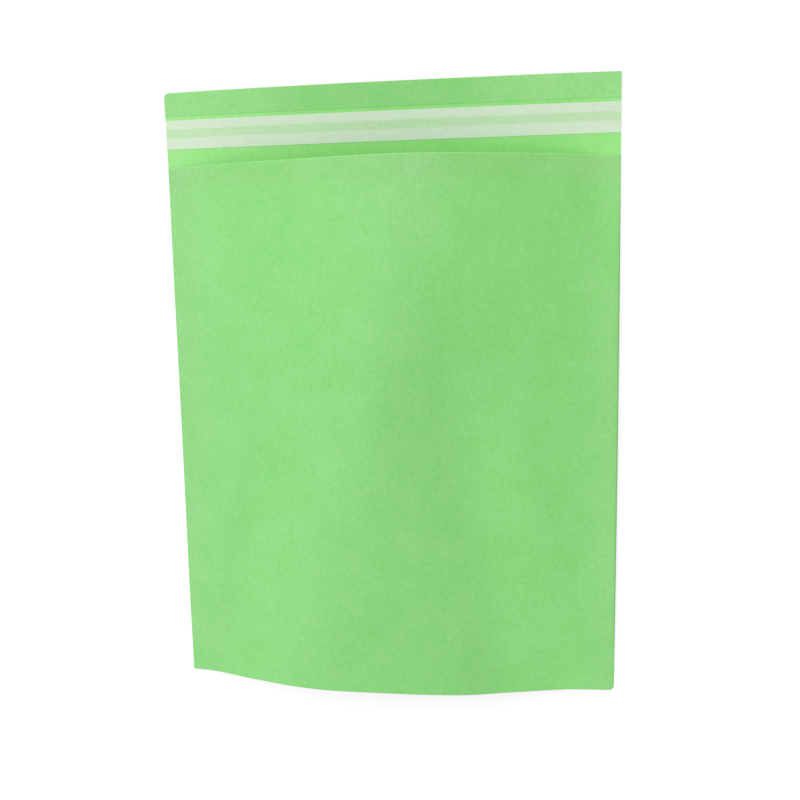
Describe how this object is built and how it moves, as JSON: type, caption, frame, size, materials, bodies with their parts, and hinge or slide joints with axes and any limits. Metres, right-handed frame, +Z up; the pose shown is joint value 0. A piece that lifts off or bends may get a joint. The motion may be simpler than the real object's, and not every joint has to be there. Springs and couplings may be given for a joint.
{
  "type": "paper mailing bag",
  "caption": "Flat mailing bag folded from one sheet of green paper, lying on its back, with an open mouth and a flap that carries an adhesive line under a release liner.",
  "frame": {"origin": "middle of the bag's plan, on the surface that it lies on", "axes": "+X across the bag to the right as seen from the front panel, +Y along it towards the top of the flap, +Z up through the front panel"},
  "size_m": [0.3, 0.4, 0.0326],
  "materials": {
    "green_paper": "matt uncoated paper",
    "liner_film": "translucent silicone-coated liner",
    "adhesive": "clear tacky hot melt"
  },
  "bodies": {
    "root": {"paper_bag": "green_paper", "release_liner": "liner_film", "adhesive_line": "adhesive"}
  },
  "joints": []
}
